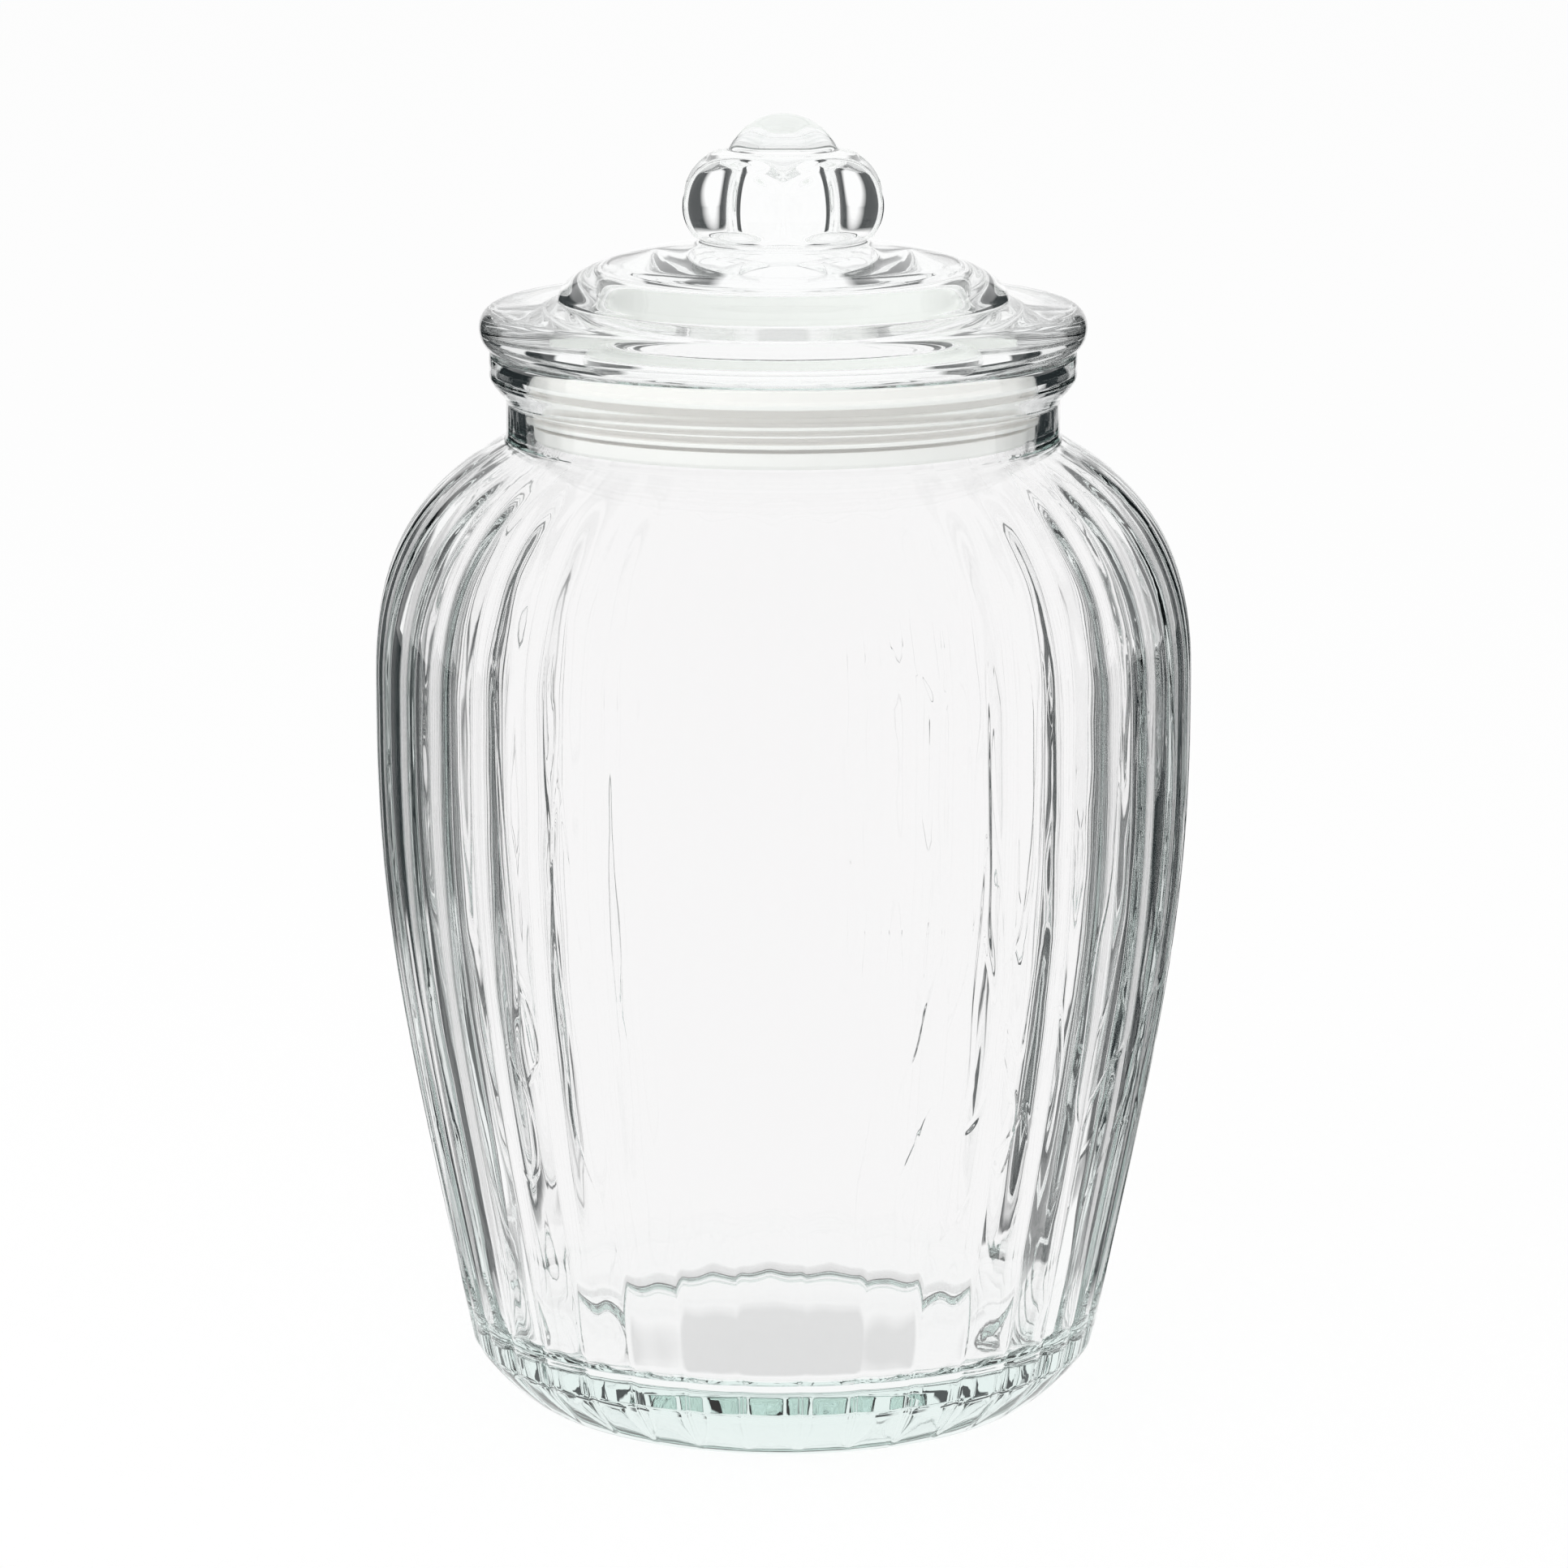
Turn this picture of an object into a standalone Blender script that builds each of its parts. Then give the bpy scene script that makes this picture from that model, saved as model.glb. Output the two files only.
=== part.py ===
"""A ribbed glass storage jar. Its pressed glass lid wears a finned plastic seal and lifts straight out.

Sizes are in metres. The jar stands on z = 0 with its axis on Z, and -Y is the side that faces the viewer.
Outlines are lists of (radius, height) points, which run down the outer side from top to bottom.
"""

import math

import bpy

# Glass body. Its radii are taken on the crests of the ribs
foot_radius = 0.0525
foot_ring_width = 0.0075
punt_height = 0.0024
punt_slope_width = 0.004
heel_radius = 0.0641
heel_height = 0.0115
side_height = 0.1285
body_radius = 0.08245
belly_length = 0.010
shoulder_height = 0.047
neck_radius = 0.05555
neck_length = 0.0078
bead_reach = 0.00335
bead_slope_length = 0.0042
bead_side_length = 0.0053
rim_round = 0.0013

# The shoulder's fall where it leaves the neck, the lean of the side at the heel, and the pull of each curve
shoulder_fall = math.radians(33)
shoulder_neck_pull = 0.011
shoulder_belly_pull = 0.0327
side_belly_pull = 0.0434
side_heel_pull = 0.0586
side_heel_lean = math.radians(11.3)
heel_power = 1.19

# Inside of the body
neck_wall = 0.00425
body_wall = 0.0040
heel_wall = 0.0047
floor_thickness = 0.0111
floor_corner = 0.015
lip_chamfer = 0.0011

# Ribs of the body, and the angle of one crest from +X
rib_count = 36
rib_depth = 0.0006
rib_turn = math.radians(-2)
rib_top_drop = 0.005
rib_top_fade = 0.010
rib_foot_fade = 0.008

# Seal, a plastic sleeve with fins that press on the bore of the neck
bore_gap = 0.0003
fin_count = 4
fin_reach = 0.0027
fin_thickness = 0.0008
fin_root_thickness = 0.0012
seal_wall = 0.0015
seal_gap = 0.0003
seal_drop = 0.0007
collar_height = 0.0029
band_height = 0.0034
band_step = 0.0008
band_chamfer = 0.0008

# Plug of the lid, which fills the sleeve
plug_depth = 0.0160
plug_wall = 0.0055
plug_wall_lean = 0.0015
plug_bead = 0.0006
plug_bead_height = 0.0024
plug_round = 0.0012
ceiling_thickness = 0.00815
ceiling_round = 0.006

# Flange and dome of the lid. The flange sits on the rim
seat_gap = 0.0003
flange_overhang = 0.0020
flange_round = 0.0034
flange_lower_height = 0.0046
flange_upper_height = 0.0041
flange_rise = 0.0013
dome_inset = 0.0013
dome_height = 0.01235
dome_power = 1.95

# Knob
knob_waist_radius = 0.0165
knob_radius = 0.0224
knob_lower_height = 0.00705
knob_upper_height = 0.0104
cap_radius = 0.011
cap_height = 0.00725
lobe_count = 6
lobe_turn = math.radians(30)
lobe_fade = 0.0012
lobe_depth_share = 0.18
lobe_power = 1.8

# Facets round the axis, the distance within which points are welded, how far the cutter
# stands out of the mouth, and the angle from which an edge is shaded sharp
body_steps = 4 * rib_count
turned_steps = 48
weld_distance = 0.00002
overrun = 0.002
sharp_angle = math.radians(32)

# Places that more than one piece uses. The lid's and the seal's heights are measured up from the rim
belly_bottom_height = heel_height + side_height
belly_top_height = belly_bottom_height + belly_length
neck_base_height = belly_top_height + shoulder_height
neck_top_height = neck_base_height + neck_length
bead_bottom_height = neck_top_height + bead_slope_length
rim_height = bead_bottom_height + bead_side_length
bead_radius = neck_radius + bead_reach
floor_height = punt_height + floor_thickness
bore_radius = neck_radius - neck_wall
fin_edge_radius = bore_radius - bore_gap
stem_radius = fin_edge_radius - fin_reach
sleeve_radius = stem_radius - seal_wall
plug_radius = sleeve_radius - seal_gap
flange_radius = bead_radius + flange_overhang
flange_belly_height = seat_gap + flange_lower_height
flange_edge_height = flange_belly_height + flange_upper_height
dome_foot_height = flange_edge_height + flange_rise
dome_radius = plug_radius - dome_inset
waist_height = dome_foot_height + dome_height
knob_belly_height = waist_height + knob_lower_height
knob_top_height = knob_belly_height + knob_upper_height


def curve(start, start_pull, end_pull, end, steps):
    """Points of a Bezier curve from start to end, without its start. Each pull is an offset to a handle."""
    points = []
    for step in range(1, steps + 1):
        along = step / steps
        back = 1 - along
        weights = (back**3, 3 * back**2 * along, 3 * back * along**2, along**3)
        handles = (
            start,
            (start[0] + start_pull[0], start[1] + start_pull[1]),
            (end[0] + end_pull[0], end[1] + end_pull[1]),
            end,
        )
        radius = sum(weight * handle[0] for weight, handle in zip(weights, handles))
        height = sum(weight * handle[1] for weight, handle in zip(weights, handles))
        points.append((radius, height))
    return points


def quarter(start, end, steps, level_first, power=2):
    """Points of a quarter superellipse, without its start, which it leaves level or upright."""
    points = []
    for step in range(1, steps + 1):
        angle = math.pi / 2 * step / steps
        rising = math.sin(angle) ** (2 / power)
        falling = math.cos(angle) ** (2 / power) if step < steps else 0
        across = rising if level_first else 1 - falling
        down = 1 - falling if level_first else rising
        radius = start[0] + (end[0] - start[0]) * across
        height = start[1] + (end[1] - start[1]) * down
        points.append((radius, height))
    return points


def smooth_share(value):
    """0 below 0, 1 above 1, and a smooth rise between."""
    value = min(max(value, 0), 1)
    return value * value * (3 - 2 * value)


def wall(inset, heel_inset, neck_end, shoulder_steps, side_steps):
    """The body's shoulder and side, from the neck down to the heel, set in from the ribs' crests."""
    neck_inset = neck_radius - neck_end[0]
    belly_top = (body_radius - inset, belly_top_height)
    belly_bottom = (body_radius - inset, belly_bottom_height)
    heel = (heel_radius - heel_inset, heel_height + heel_inset)
    neck_pull = shoulder_neck_pull + neck_inset
    fall_pull = (neck_pull * math.cos(shoulder_fall), -neck_pull * math.sin(shoulder_fall))
    lean_pull = (side_heel_pull * math.tan(side_heel_lean), side_heel_pull)
    points = [neck_end]
    points += curve(neck_end, fall_pull, (0, shoulder_belly_pull - inset), belly_top, shoulder_steps)
    points.append(belly_bottom)
    points += curve(belly_bottom, (0, -side_belly_pull), lean_pull, heel, side_steps)
    return points


def body_outline():
    points = [(0, rim_height), (bead_radius - rim_round, rim_height)]
    points += quarter(points[-1], (bead_radius, rim_height - rim_round), 2, level_first=True)
    points.append((bead_radius, bead_bottom_height))
    points.append((neck_radius, neck_top_height))
    points += wall(0, 0, (neck_radius, neck_base_height), 6, 4)
    points += quarter(points[-1], (foot_radius, 0), 3, level_first=False, power=heel_power)
    ring_inside = foot_radius - foot_ring_width
    points.append((ring_inside, 0))
    points.append((ring_inside - punt_slope_width, punt_height))
    points.append((0, punt_height))
    return points


def cavity_outline():
    # The wall bends below the neck, so the inner shoulder leaves the bore lower than the outer one.
    bend = (math.pi / 2 - shoulder_fall) / 2
    bore_end = (bore_radius, neck_base_height - neck_wall * math.tan(bend))
    points = [(0, rim_height + overrun), (bore_radius + lip_chamfer + overrun, rim_height + overrun)]
    points.append((bore_radius, rim_height - lip_chamfer))
    points += wall(body_wall, heel_wall, bore_end, 5, 3)
    corner_end = (points[-1][0] - floor_corner, floor_height)
    points += quarter(points[-1], corner_end, 3, level_first=False)
    points.append((0, floor_height))
    return points


def knob_outline():
    """The cap and the bulb, down to the waist. The lobes are cut into the bulb afterwards."""
    cap_ball = (cap_radius**2 + cap_height**2) / (2 * cap_height)
    cap_span = math.asin(cap_radius / cap_ball)
    cap_steps = 3
    points = []
    for step in range(cap_steps + 1):
        angle = cap_span * step / cap_steps
        sunk = cap_ball * (1 - math.cos(angle))
        points.append((cap_ball * math.sin(angle), knob_top_height + cap_height - sunk))
    belly = (knob_radius, knob_belly_height)
    points += quarter(points[-1], belly, 5, level_first=True)
    points += quarter(belly, (knob_waist_radius, waist_height), 4, level_first=False)
    return points


def lid_outline():
    points = knob_outline()
    dome_foot = (dome_radius, dome_foot_height)
    dome = quarter((0, waist_height), dome_foot, 8, level_first=True, power=dome_power)
    points += [point for point in dome if point[0] > knob_waist_radius]
    flange_top = (flange_radius - flange_round, flange_edge_height)
    points.append(flange_top)
    points += quarter(flange_top, (flange_radius, flange_belly_height), 2, level_first=True)
    points += quarter(points[-1], (flange_radius - flange_round, seat_gap), 3, level_first=False)
    points += plug_outline()
    return points


def plug_outline():
    foot = -plug_depth
    bead_foot = foot + plug_round
    inner = plug_radius - plug_wall
    ceiling = waist_height - ceiling_thickness
    ceiling_edge = inner - plug_wall_lean
    points = [(plug_radius, seat_gap)]
    points.append((plug_radius, bead_foot + plug_bead_height))
    points.append((plug_radius + plug_bead, bead_foot + plug_bead_height / 2))
    points.append((plug_radius, bead_foot))
    points += quarter(points[-1], (plug_radius - plug_round, foot), 2, level_first=False)
    points.append((inner, foot))
    points.append((ceiling_edge, ceiling - ceiling_round))
    points += quarter(points[-1], (ceiling_edge - ceiling_round, ceiling), 3, level_first=False)
    points.append((0, ceiling))
    return points


def seal_outline():
    """A closed loop: down the fins and the band, then up the inside, which has a groove for the bead."""
    band_edge = fin_edge_radius - band_step
    foot = -plug_depth - seal_drop
    bead_middle = plug_round + plug_bead_height / 2 - plug_depth
    hollow_half = plug_bead_height / 2 + seal_gap
    fin_pitch = (-foot - collar_height - band_height) / fin_count
    points = [(sleeve_radius, 0), (stem_radius, 0)]
    for number in range(fin_count):
        middle = -collar_height - fin_pitch * (number + 1 / 2)
        points.append((stem_radius, middle + fin_root_thickness / 2))
        points.append((fin_edge_radius, middle + fin_thickness / 2))
        points.append((fin_edge_radius, middle - fin_thickness / 2))
        points.append((stem_radius, middle - fin_root_thickness / 2))
    points.append((stem_radius, foot + band_height))
    points.append((band_edge, foot + band_height))
    points.append((band_edge, foot + band_chamfer))
    points.append((band_edge - band_chamfer, foot))
    points.append((sleeve_radius, foot))
    points.append((sleeve_radius, bead_middle - hollow_half))
    points.append((sleeve_radius + plug_bead, bead_middle))
    points.append((sleeve_radius, bead_middle + hollow_half))
    points.append(points[0])
    return points


def new_material(name, colour, roughness, transmission, refraction):
    material = bpy.data.materials.new(name)
    material.use_nodes = True
    shader = material.node_tree.nodes["Principled BSDF"]
    shader.inputs["Base Color"].default_value = (*colour, 1)
    shader.inputs["Metallic"].default_value = 0
    shader.inputs["Roughness"].default_value = roughness
    shader.inputs["Transmission Weight"].default_value = transmission
    shader.inputs["IOR"].default_value = refraction
    return material


def new_collection(name):
    collection = bpy.data.collections.new(name)
    bpy.context.scene.collection.children.link(collection)
    return collection


def turned(name, outline, steps, collection):
    """The solid that an outline sweeps about Z. An outline that ends where it began is a loop."""
    edges = [(number, number + 1) for number in range(len(outline) - 1)]
    if outline[0] == outline[-1]:
        outline = outline[:-1]
        edges[-1] = (edges[-1][0], 0)
    mesh = bpy.data.meshes.new(name)
    mesh.from_pydata([(radius, 0, height) for radius, height in outline], edges, [])
    obj = bpy.data.objects.new(name, mesh)
    collection.objects.link(obj)
    screw = obj.modifiers.new("Turn", "SCREW")
    screw.axis = "Z"
    screw.steps = steps
    screw.render_steps = steps
    screw.use_merge_vertices = True
    screw.merge_threshold = weld_distance
    graph = bpy.context.evaluated_depsgraph_get()
    solid = bpy.data.meshes.new_from_object(obj.evaluated_get(graph))
    solid.name = name
    obj.modifiers.clear()
    obj.data = solid
    return obj


def shape_round(obj, radius_at):
    """Moves each point of a turned solid to the radius that radius_at gives."""
    for point in obj.data.vertices:
        radius = math.hypot(point.co.x, point.co.y)
        if radius > weld_distance:
            scale = radius_at(radius, math.atan2(point.co.y, point.co.x), point.co.z) / radius
            point.co.x *= scale
            point.co.y *= scale


def finish(obj, material, height):
    obj.data.materials.append(material)
    obj.data.shade_smooth()
    obj.data.set_sharp_from_angle(angle=sharp_angle)
    obj.location.z = height


def ribbed_radius(radius, angle, height):
    """The body's radius between its ribs, which fade out on the shoulder and under the heel."""
    if radius < foot_radius:
        return radius
    turns = (angle - rib_turn) / (2 * math.pi / rib_count)
    across = 2 * (turns - round(turns))
    top_fade = smooth_share((neck_base_height - rib_top_drop - height) / rib_top_fade)
    foot_fade = smooth_share(height / rib_foot_fade)
    return radius - rib_depth * across**2 * top_fade * foot_fade


def lobed_radius(radius, angle, height):
    """The knob's radius. Between two crests it falls by a power of a sine, and the lobes fade at cap and waist."""
    fade_low = smooth_share((height - waist_height) / lobe_fade)
    fade_high = smooth_share((knob_top_height - height) / lobe_fade)
    turns = (angle - lobe_turn) / (2 * math.pi / lobe_count)
    depth_share = lobe_depth_share * abs(math.sin(math.pi * turns)) ** lobe_power
    return radius * (1 - depth_share * fade_low * fade_high)


def add_body(collection, cutters, material):
    body = turned("jar_body", body_outline(), body_steps, collection)
    shape_round(body, ribbed_radius)
    finish(body, material, 0)
    cavity = turned("cavity_cutter", cavity_outline(), turned_steps, cutters)
    cavity.hide_render = True
    cavity.display_type = "WIRE"
    cut = body.modifiers.new("Hollow", "BOOLEAN")
    cut.operation = "DIFFERENCE"
    cut.solver = "EXACT"
    cut.object = cavity


def add_lid(collection, material):
    lid = turned("lid", lid_outline(), turned_steps, collection)
    shape_round(lid, lobed_radius)
    finish(lid, material, rim_height)


def add_seal(collection, material):
    seal = turned("lid_seal", seal_outline(), turned_steps, collection)
    finish(seal, material, rim_height)


def main():
    for obj in list(bpy.data.objects):
        bpy.data.objects.remove(obj)
    jar = new_collection("glass_storage_jar")
    cutters = new_collection("cutters")
    glass = new_material("jar_glass", (0.93, 0.96, 0.95), 0.02, 1, 1.5)
    lid_glass = new_material("lid_glass", (0.94, 0.96, 0.95), 0.02, 1, 1.5)
    plastic = new_material("seal_plastic", (0.82, 0.82, 0.79), 0.45, 0, 1.51)
    add_body(jar, cutters, glass)
    add_lid(jar, lid_glass)
    add_seal(jar, plastic)


main()
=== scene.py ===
"""Looks for the glass storage jar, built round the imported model, in metres.

The jar stands on z = 0 with its axis on Z, and -Y is the side that faces the viewer. A profile is an
array of rows (radius, height, mask, mask), which runs with the solid on its left and is carried round Z.
"""

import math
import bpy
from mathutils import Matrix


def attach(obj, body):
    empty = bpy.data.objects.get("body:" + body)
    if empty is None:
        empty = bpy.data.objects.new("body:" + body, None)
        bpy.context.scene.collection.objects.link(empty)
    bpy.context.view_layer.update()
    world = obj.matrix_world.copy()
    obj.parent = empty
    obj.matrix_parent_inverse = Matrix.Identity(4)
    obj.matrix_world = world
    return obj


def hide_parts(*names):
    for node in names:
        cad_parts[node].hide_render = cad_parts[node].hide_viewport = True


bl_info = {
    "name": "Glass Storage Jar",
    "version": (1, 0, 0),
    "blender": (4, 5, 0),
    "location": "3D View > Sidebar > Jar",
    "description": "Builds a ribbed glass storage jar with its lid, its seal and a plain studio",
    "category": "Add Mesh",
}

import bpy
import numpy as np

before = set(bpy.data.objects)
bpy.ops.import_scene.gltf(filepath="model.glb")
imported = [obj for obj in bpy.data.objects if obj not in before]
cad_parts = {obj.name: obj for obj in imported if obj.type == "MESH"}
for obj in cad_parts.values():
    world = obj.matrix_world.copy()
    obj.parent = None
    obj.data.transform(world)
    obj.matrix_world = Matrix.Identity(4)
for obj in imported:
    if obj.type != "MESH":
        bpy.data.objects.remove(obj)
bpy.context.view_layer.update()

# Rows and columns of the pieces' meshes. The body has the same columns on every rib.
BODY_ROWS, RIB_COLUMNS = 228, 12
LID_ROWS, LID_COLUMNS = 300, 288
SEAL_ROWS, SEAL_COLUMNS = 200, 240
FLOOR_SIDES, FLOOR_DROP = 128, 0.0003

# Samples along an outline, the share of its rows that follow its bends, and how far a rib's columns
# move towards its valleys.
OUTLINE_SAMPLES = 6000
BEND_SHARE = 0.9
COLUMN_PULL = 0.12

# How softly a rib's end is cut, as the square of a share of its depth.
RIB_END_SOFTNESS = 0.0006

# Levels of the noise between which patches of wrinkles begin, and the heights where wrinkles begin and end.
WRINKLE_PATCHES = (0.46, 0.58)
WRINKLE_START = (0.045, 0.07)
WRINKLE_END = (0.14, 0.165)

# How far the seal's mottling goes to both sides of its colour.
SEAL_MOTTLE = 0.03

# Radians over which a dark card's edge fades to each side, and the lengths over which its ends fade.
CARD_SOFTNESS = 0.03
NARROWING_FADE, START_FADE, GAP_FADE = 0.4, 0.02, 0.03

# Place of the lamp, and its turns round X, Y and Z in degrees.
LAMP_PLACE = (-0.7, -0.9, 1.3)
LAMP_TURN = (42, 0, -38)

WHITE = (1, 1, 1, 1)
FLOOR_COLOUR = (0.94, 0.94, 0.94, 1)
CLEAR_COLOUR = (0.97, 0.98, 0.975, 1)


def length(name, default, description):
    """A property that holds a length."""
    return bpy.props.FloatProperty(
        name=name, description=description, default=default, unit="LENGTH", precision=5
    )


def turn(name, degrees, description):
    """A property that holds an angle."""
    return bpy.props.FloatProperty(
        name=name, description=description, default=math.radians(degrees), subtype="ANGLE"
    )


def share(name, default, description):
    """A property that holds a plain number."""
    return bpy.props.FloatProperty(name=name, description=description, default=default, precision=4)


def colour(name, default, description):
    """A property that holds a colour."""
    return bpy.props.FloatVectorProperty(
        name=name, description=description, default=default, size=3, subtype="COLOR", min=0, max=1
    )


class BodySizes(bpy.types.PropertyGroup):
    """Sizes of the glass body, on the crests of its ribs."""

    foot_radius: length("Foot radius", 0.0525, "Outer radius of the foot ring")
    foot_ring_width: length("Foot ring width", 0.0075, "Width of the flat ring that the jar stands on")
    punt_height: length("Punt height", 0.0024, "Height of the hollow under the floor")
    punt_slope_width: length("Punt slope", 0.004, "Width of the slope round the hollow")
    heel_radius: length("Heel radius", 0.0641, "Radius where the side meets the heel")
    heel_height: length("Heel height", 0.0115, "Height of the round heel")
    side_height: length("Side height", 0.1285, "Height of the curved side above the heel")
    body_radius: length("Body radius", 0.08245, "Radius at the belly")
    belly_length: length("Belly length", 0.010, "Height of the straight belly")
    shoulder_height: length("Shoulder height", 0.047, "Height of the shoulder")
    neck_radius: length("Neck radius", 0.05555, "Outer radius of the neck")
    neck_length: length("Neck length", 0.0078, "Height of the straight neck")
    bead_reach: length("Bead reach", 0.00335, "How far the bead stands out of the neck")
    bead_slope_length: length("Bead slope", 0.0042, "Height of the slope under the bead")
    bead_side_length: length("Bead side", 0.0053, "Height of the bead's side")
    shoulder_fall: turn("Shoulder fall", 33, "Fall of the shoulder where it leaves the neck")
    shoulder_neck_pull: length("Shoulder pull at the neck", 0.011, "Handle of the shoulder's curve")
    shoulder_belly_pull: length("Shoulder pull at the belly", 0.0327, "Handle of the shoulder's curve")
    side_belly_pull: length("Side pull at the belly", 0.0434, "Handle of the side's curve")
    side_heel_pull: length("Side pull at the heel", 0.0586, "Handle of the side's curve")
    side_heel_lean: turn("Side lean", 11.3, "Lean of the side at the heel")
    heel_power: share("Heel power", 1.19, "Fullness of the heel, where 2 is a round one")
    neck_wall: length("Neck wall", 0.00425, "Glass thickness at the neck")
    body_wall: length("Body wall", 0.0040, "Glass thickness at the belly")
    heel_wall: length("Heel wall", 0.0047, "Glass thickness at the heel")
    floor_thickness: length("Floor thickness", 0.0111, "Glass thickness of the floor")
    floor_corner: length("Floor corner", 0.015, "Width of the round corner inside the jar")
    floor_corner_height: length("Floor corner height", 0.005, "Height of the round corner inside the jar")
    rib_inside_start: length("Ribs inside", 0.015, "Height above the floor where the inner wall's ribs begin")
    rib_inside_fade: length("Ribs inside fade", 0.05, "Height over which the inner wall's ribs grow")
    lip_chamfer: length("Lip chamfer", 0.0011, "Slope at the mouth")
    corner: length("Corner softness", 0.00055, "How far the melt has softened every corner")
    rib_count: bpy.props.IntProperty(name="Ribs", description="Ribs round the body", default=36)
    rib_depth: length("Rib depth", 0.0006, "Depth of the valleys between the ribs")
    rib_power: share("Rib power", 3.0, "Fullness of the ribs, where 2 is a round one")
    rib_follow_share: share("Rib share inside", 1.22, "How much of the ribs' depth the inner wall follows")
    rib_turn: turn("Rib turn", -2, "Angle of one rib from +X")
    rib_top_drop: length("Rib top drop", 0.005, "How far below the neck the ribs begin")
    rib_top_fade: length("Rib top fade", 0.010, "Height over which the ribs grow")
    rib_foot_fade: length("Rib foot fade", 0.008, "Height over which the ribs end at the foot")
    ripple_height: length("Ripple height", 0.000028, "Unevenness of the blown inner wall")
    ripple_start: length("Ripple start", 0.012, "Height at which the unevenness begins")
    ripple_fade: length("Ripple fade", 0.02, "Height over which it grows")


class LidSizes(bpy.types.PropertyGroup):
    """Sizes of the pressed lid and of the seal round its plug."""

    bore_gap: length("Bore gap", 0.0003, "Gap between the fins and the neck")
    fin_count: bpy.props.IntProperty(name="Fins", description="Thin fins of the seal", default=4)
    fin_reach: length("Fin reach", 0.0027, "How far the fins stand out of the sleeve")
    fin_thickness: length("Fin thickness", 0.0008, "Thickness at the fin's edge")
    fin_root_thickness: length("Fin root", 0.0012, "Thickness at the fin's root")
    seal_wall: length("Seal wall", 0.0015, "Thickness of the sleeve")
    seal_gap: length("Seal gap", 0.0003, "Gap between the sleeve and the plug")
    seal_drop: length("Seal drop", 0.0007, "How far the sleeve goes below the plug")
    collar_height: length("Collar height", 0.0029, "Plain top of the sleeve")
    band_height: length("Band height", 0.0034, "Height of the band at the sleeve's foot")
    band_step: length("Band step", 0.0008, "How far the band is set in from the fins")
    band_chamfer: length("Band chamfer", 0.0008, "Slope at the band's foot")
    seal_corner: length("Seal corner", 0.00014, "Softness of the seal's corners")
    plug_depth: length("Plug depth", 0.0160, "Depth of the plug below the rim")
    plug_wall: length("Plug wall", 0.0055, "Glass thickness of the plug")
    plug_wall_lean: length("Plug lean", 0.0015, "How far the hollow narrows to its ceiling")
    plug_bead: length("Plug bead", 0.0006, "Height of the bead that holds the sleeve")
    plug_bead_height: length("Plug bead width", 0.0024, "Width of that bead")
    plug_round: length("Plug round", 0.0012, "Radius at the plug's foot")
    ceiling_thickness: length("Ceiling thickness", 0.00815, "Glass between the hollow and the knob's waist")
    ceiling_round: length("Ceiling round", 0.006, "Radius of the hollow's corner")
    seat_gap: length("Seat gap", 0.0003, "Gap between the flange and the rim")
    flange_overhang: length("Flange overhang", 0.0020, "How far the flange stands out over the bead")
    flange_round: length("Flange round", 0.0034, "Depth of the flange's round edge")
    flange_lower_height: length("Flange lower height", 0.0046, "Height of the edge below its widest line")
    flange_upper_height: length("Flange upper height", 0.0041, "Height of the edge above its widest line")
    flange_rise: length("Flange rise", 0.0013, "Rise of the flange to the dome")
    dome_inset: length("Dome inset", 0.0013, "How far the dome is set in from the plug")
    dome_height: length("Dome height", 0.01235, "Height of the dome")
    dome_power: share("Dome power", 1.95, "Fullness of the dome")
    knob_waist_radius: length("Knob waist", 0.0165, "Radius at the knob's waist")
    knob_radius: length("Knob radius", 0.0224, "Radius over the lobes")
    knob_lower_height: length("Knob lower height", 0.00705, "Height of the knob below its widest line")
    knob_upper_height: length("Knob upper height", 0.0104, "Height of the knob above its widest line")
    cap_radius: length("Cap radius", 0.011, "Radius of the cap on the knob")
    cap_height: length("Cap height", 0.00725, "Height of the cap")
    lobe_count: bpy.props.IntProperty(name="Lobes", description="Lobes round the knob", default=6)
    lobe_turn: turn("Lobe turn", 30, "Angle of one lobe from +X")
    lobe_fade: length("Lobe fade", 0.0026, "Height over which the lobes begin and end")
    lobe_depth_share: share("Lobe depth", 0.18, "Depth of the valleys as a share of the knob's radius")
    lobe_power: share("Lobe power", 1.8, "Width of the lobes, where 2 is a plain wave and less is narrower")
    lid_corner: length("Corner softness", 0.0004, "How far the press has softened every corner")


class Finishes(bpy.types.PropertyGroup):
    """Colours and finishes."""

    body_tint: colour("Body tint", (0.970, 0.963, 0.965), "Colour of the body's clear glass surface")
    lid_tint: colour("Lid tint", (0.991, 0.993, 0.993), "Colour of the lid's clear glass surface")
    glass_depth: colour("Glass depth", (0.30, 0.72, 0.62), "Colour that thick glass turns to")
    glass_density: share("Glass density", 2.2, "How soon the body's thick glass shows its colour")
    lid_density: share("Lid glass density", 0.25, "How soon the lid's thick glass shows its colour")
    glass_index: share("Refraction index", 1.5, "Index of soda lime glass")
    glass_ripple: length("Glass ripple", 0.00002, "Height of the fine waves in the glass")
    body_wave_scale: share("Body wave scale", 130.0, "Scale of the fine waves in the body")
    body_wave_stretch: share("Body wave stretch", 0.18, "Share of that scale that counts along the height")
    lid_wave_scale: share("Lid wave scale", 90.0, "Scale of the fine waves in the lid")
    lid_wave_stretch: share("Lid wave stretch", 0.6, "Share of that scale that counts along the height")
    wrinkle: share("Wrinkle height", 6.0, "Height of the thin wrinkles, in heights of the fine waves")
    seal_colour: colour("Seal colour", (0.97, 0.95, 0.93), "Colour of the translucent plastic")
    seal_roughness: share("Seal roughness", 0.42, "Roughness of the plastic")


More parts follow.
